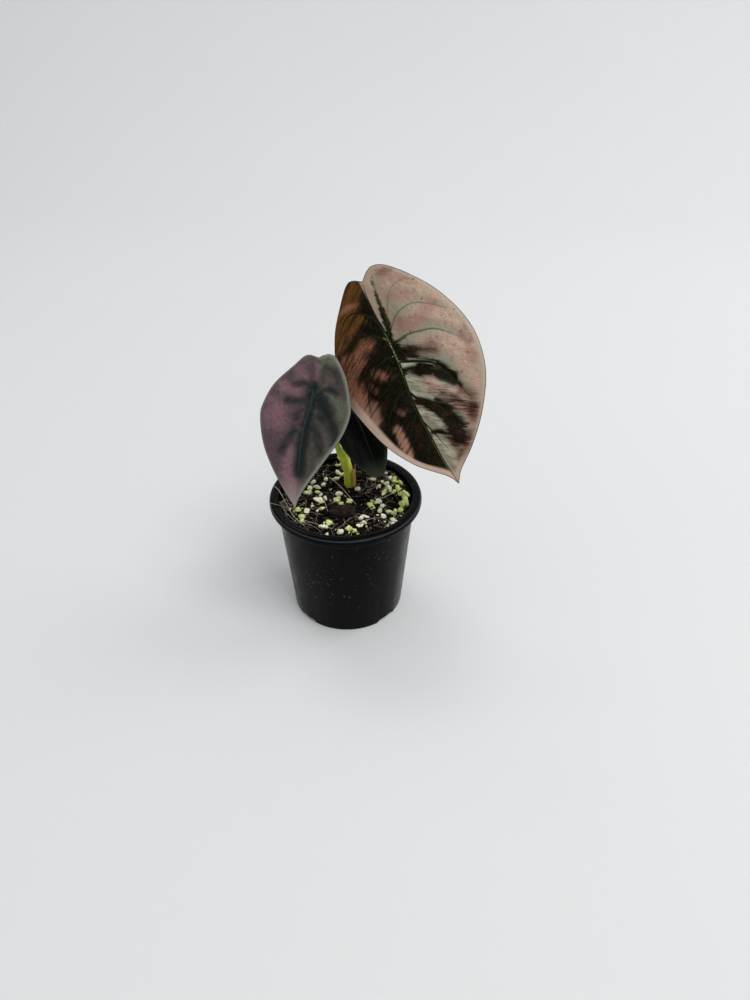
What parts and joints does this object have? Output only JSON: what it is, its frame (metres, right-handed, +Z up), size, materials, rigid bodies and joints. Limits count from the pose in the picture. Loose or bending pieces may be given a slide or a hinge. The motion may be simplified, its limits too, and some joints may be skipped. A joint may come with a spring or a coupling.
{
  "type": "potted alocasia",
  "caption": "Young potted alocasia: glossy copper shield leaf and smaller satin leaves on slim petioles, in a round black nursery pot of chunky mix.",
  "frame": {"origin": "middle of the pot's flat underside, where it stands", "axes": "+Z up through the pot's axis, -Y towards the side that the leaves face, +X to the right of someone facing the leaves"},
  "size_m": [0.1341, 0.1012, 0.2346],
  "materials": {
    "pot_plastic": "semi-gloss black plastic, scuffed and dusty",
    "potting_mix": "loose damp dark brown mix of bark, coir and fine roots",
    "bark": "rough fibrous bark",
    "chip_white": "matte porous cream-white perlite",
    "chip_green": "matte porous perlite stained yellow-green",
    "stem": "smooth moist yellow-green sheath",
    "dry_sheath": "dry papery yellow-brown",
    "petiole": "smooth olive green, slightly glossy",
    "leaf_large": "glossy metallic copper with dark green veins, quilted",
    "leaf_medium": "satin purple to grey-green with dark teal veins",
    "leaf_small": "satin near-black green"
  },
  "bodies": {
    "root": {"pot": "pot_plastic", "potting_mix": "potting_mix", "bark_chunk": "bark", "chip_01": "chip_white", "chip_02": "chip_white", "chip_03": "chip_green", "chip_04": "chip_green", "chip_05": "chip_green", "chip_06": "chip_green", "chip_07": "chip_white", "chip_08": "chip_green", "chip_09": "chip_white", "chip_10": "chip_green", "chip_11": "chip_white", "chip_12": "chip_green", "chip_13": "chip_white", "chip_14": "chip_green", "chip_15": "chip_white", "chip_16": "chip_white", "chip_17": "chip_white", "chip_18": "chip_green", "chip_19": "chip_white", "chip_20": "chip_white", "chip_21": "chip_white", "chip_22": "chip_white", "chip_23": "chip_white", "chip_24": "chip_green", "chip_25": "chip_green", "chip_26": "chip_green", "chip_27": "chip_green", "chip_28": "chip_green", "chip_29": "chip_green", "chip_30": "chip_white", "chip_31": "chip_white", "chip_32": "chip_white", "chip_33": "chip_white", "chip_34": "chip_white", "chip_35": "chip_white", "chip_36": "chip_white", "stem": "stem", "old_sheath": "dry_sheath", "petiole_large": "petiole", "petiole_medium": "petiole", "petiole_small": "petiole", "leaf_large": "leaf_large", "leaf_medium": "leaf_medium", "leaf_small": "leaf_small"}
  },
  "joints": []
}
